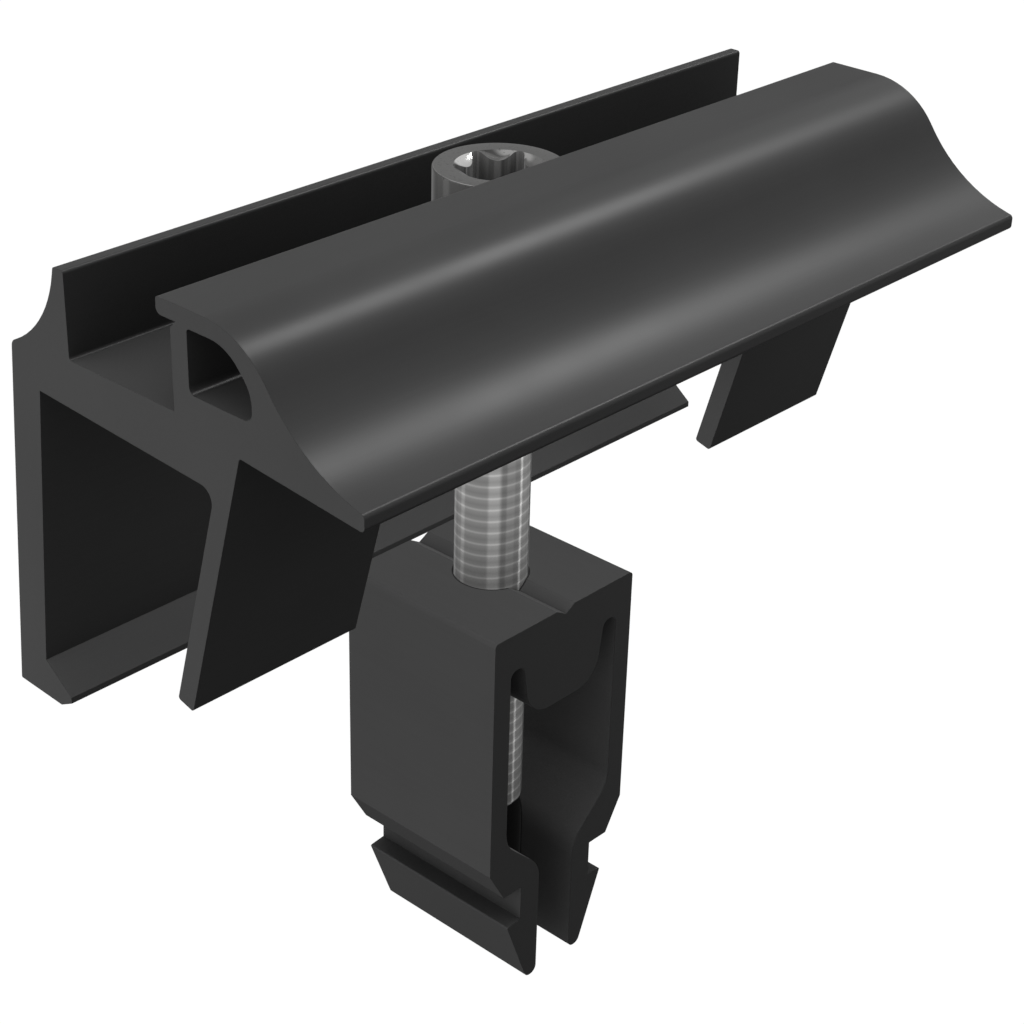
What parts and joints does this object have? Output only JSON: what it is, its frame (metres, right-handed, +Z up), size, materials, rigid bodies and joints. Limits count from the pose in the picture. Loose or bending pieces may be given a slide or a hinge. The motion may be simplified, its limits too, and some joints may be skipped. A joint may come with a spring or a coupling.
{
  "type": "solar end clamp",
  "caption": "End clamp for a solar module frame: winged aluminium extrusion drawn down by a cap screw into a click-in rail nut block with hooked feet.",
  "frame": {"origin": "on the screw's axis, at the height of the rail's top face, where the nut block's shoulders stand", "axes": "+Z up along the screw; +X towards the solar module that the wing holds down, which is also along the rail; +Y along the extruded clamp body"},
  "size_m": [0.0478, 0.092, 0.0917],
  "materials": {
    "anodised": "black anodised, satin",
    "steel": "bare stainless, rolled thread and turned head"
  },
  "bodies": {
    "rail_nut": {"nut_block": "anodised"},
    "clamp": {"clamp_body": "anodised"},
    "screw": {"cap_screw": "steel"}
  },
  "joints": [
    {"name": "clamp_slide", "type": "slide", "parent": "rail_nut", "child": "clamp", "axis": [0, 0, 1], "range_m": [-0.0305, 0.02]},
    {"name": "screw_turn", "type": "hinge", "parent": "clamp", "child": "screw", "pos_m": [0, 0, 0.069], "axis": [0, 0, 1], "range_deg": [-8785, 5761]}
  ],
  "couplings": [
    {"joint": "screw_turn", "follows": "clamp_slide", "rad_per_m": 5026.5}
  ]
}
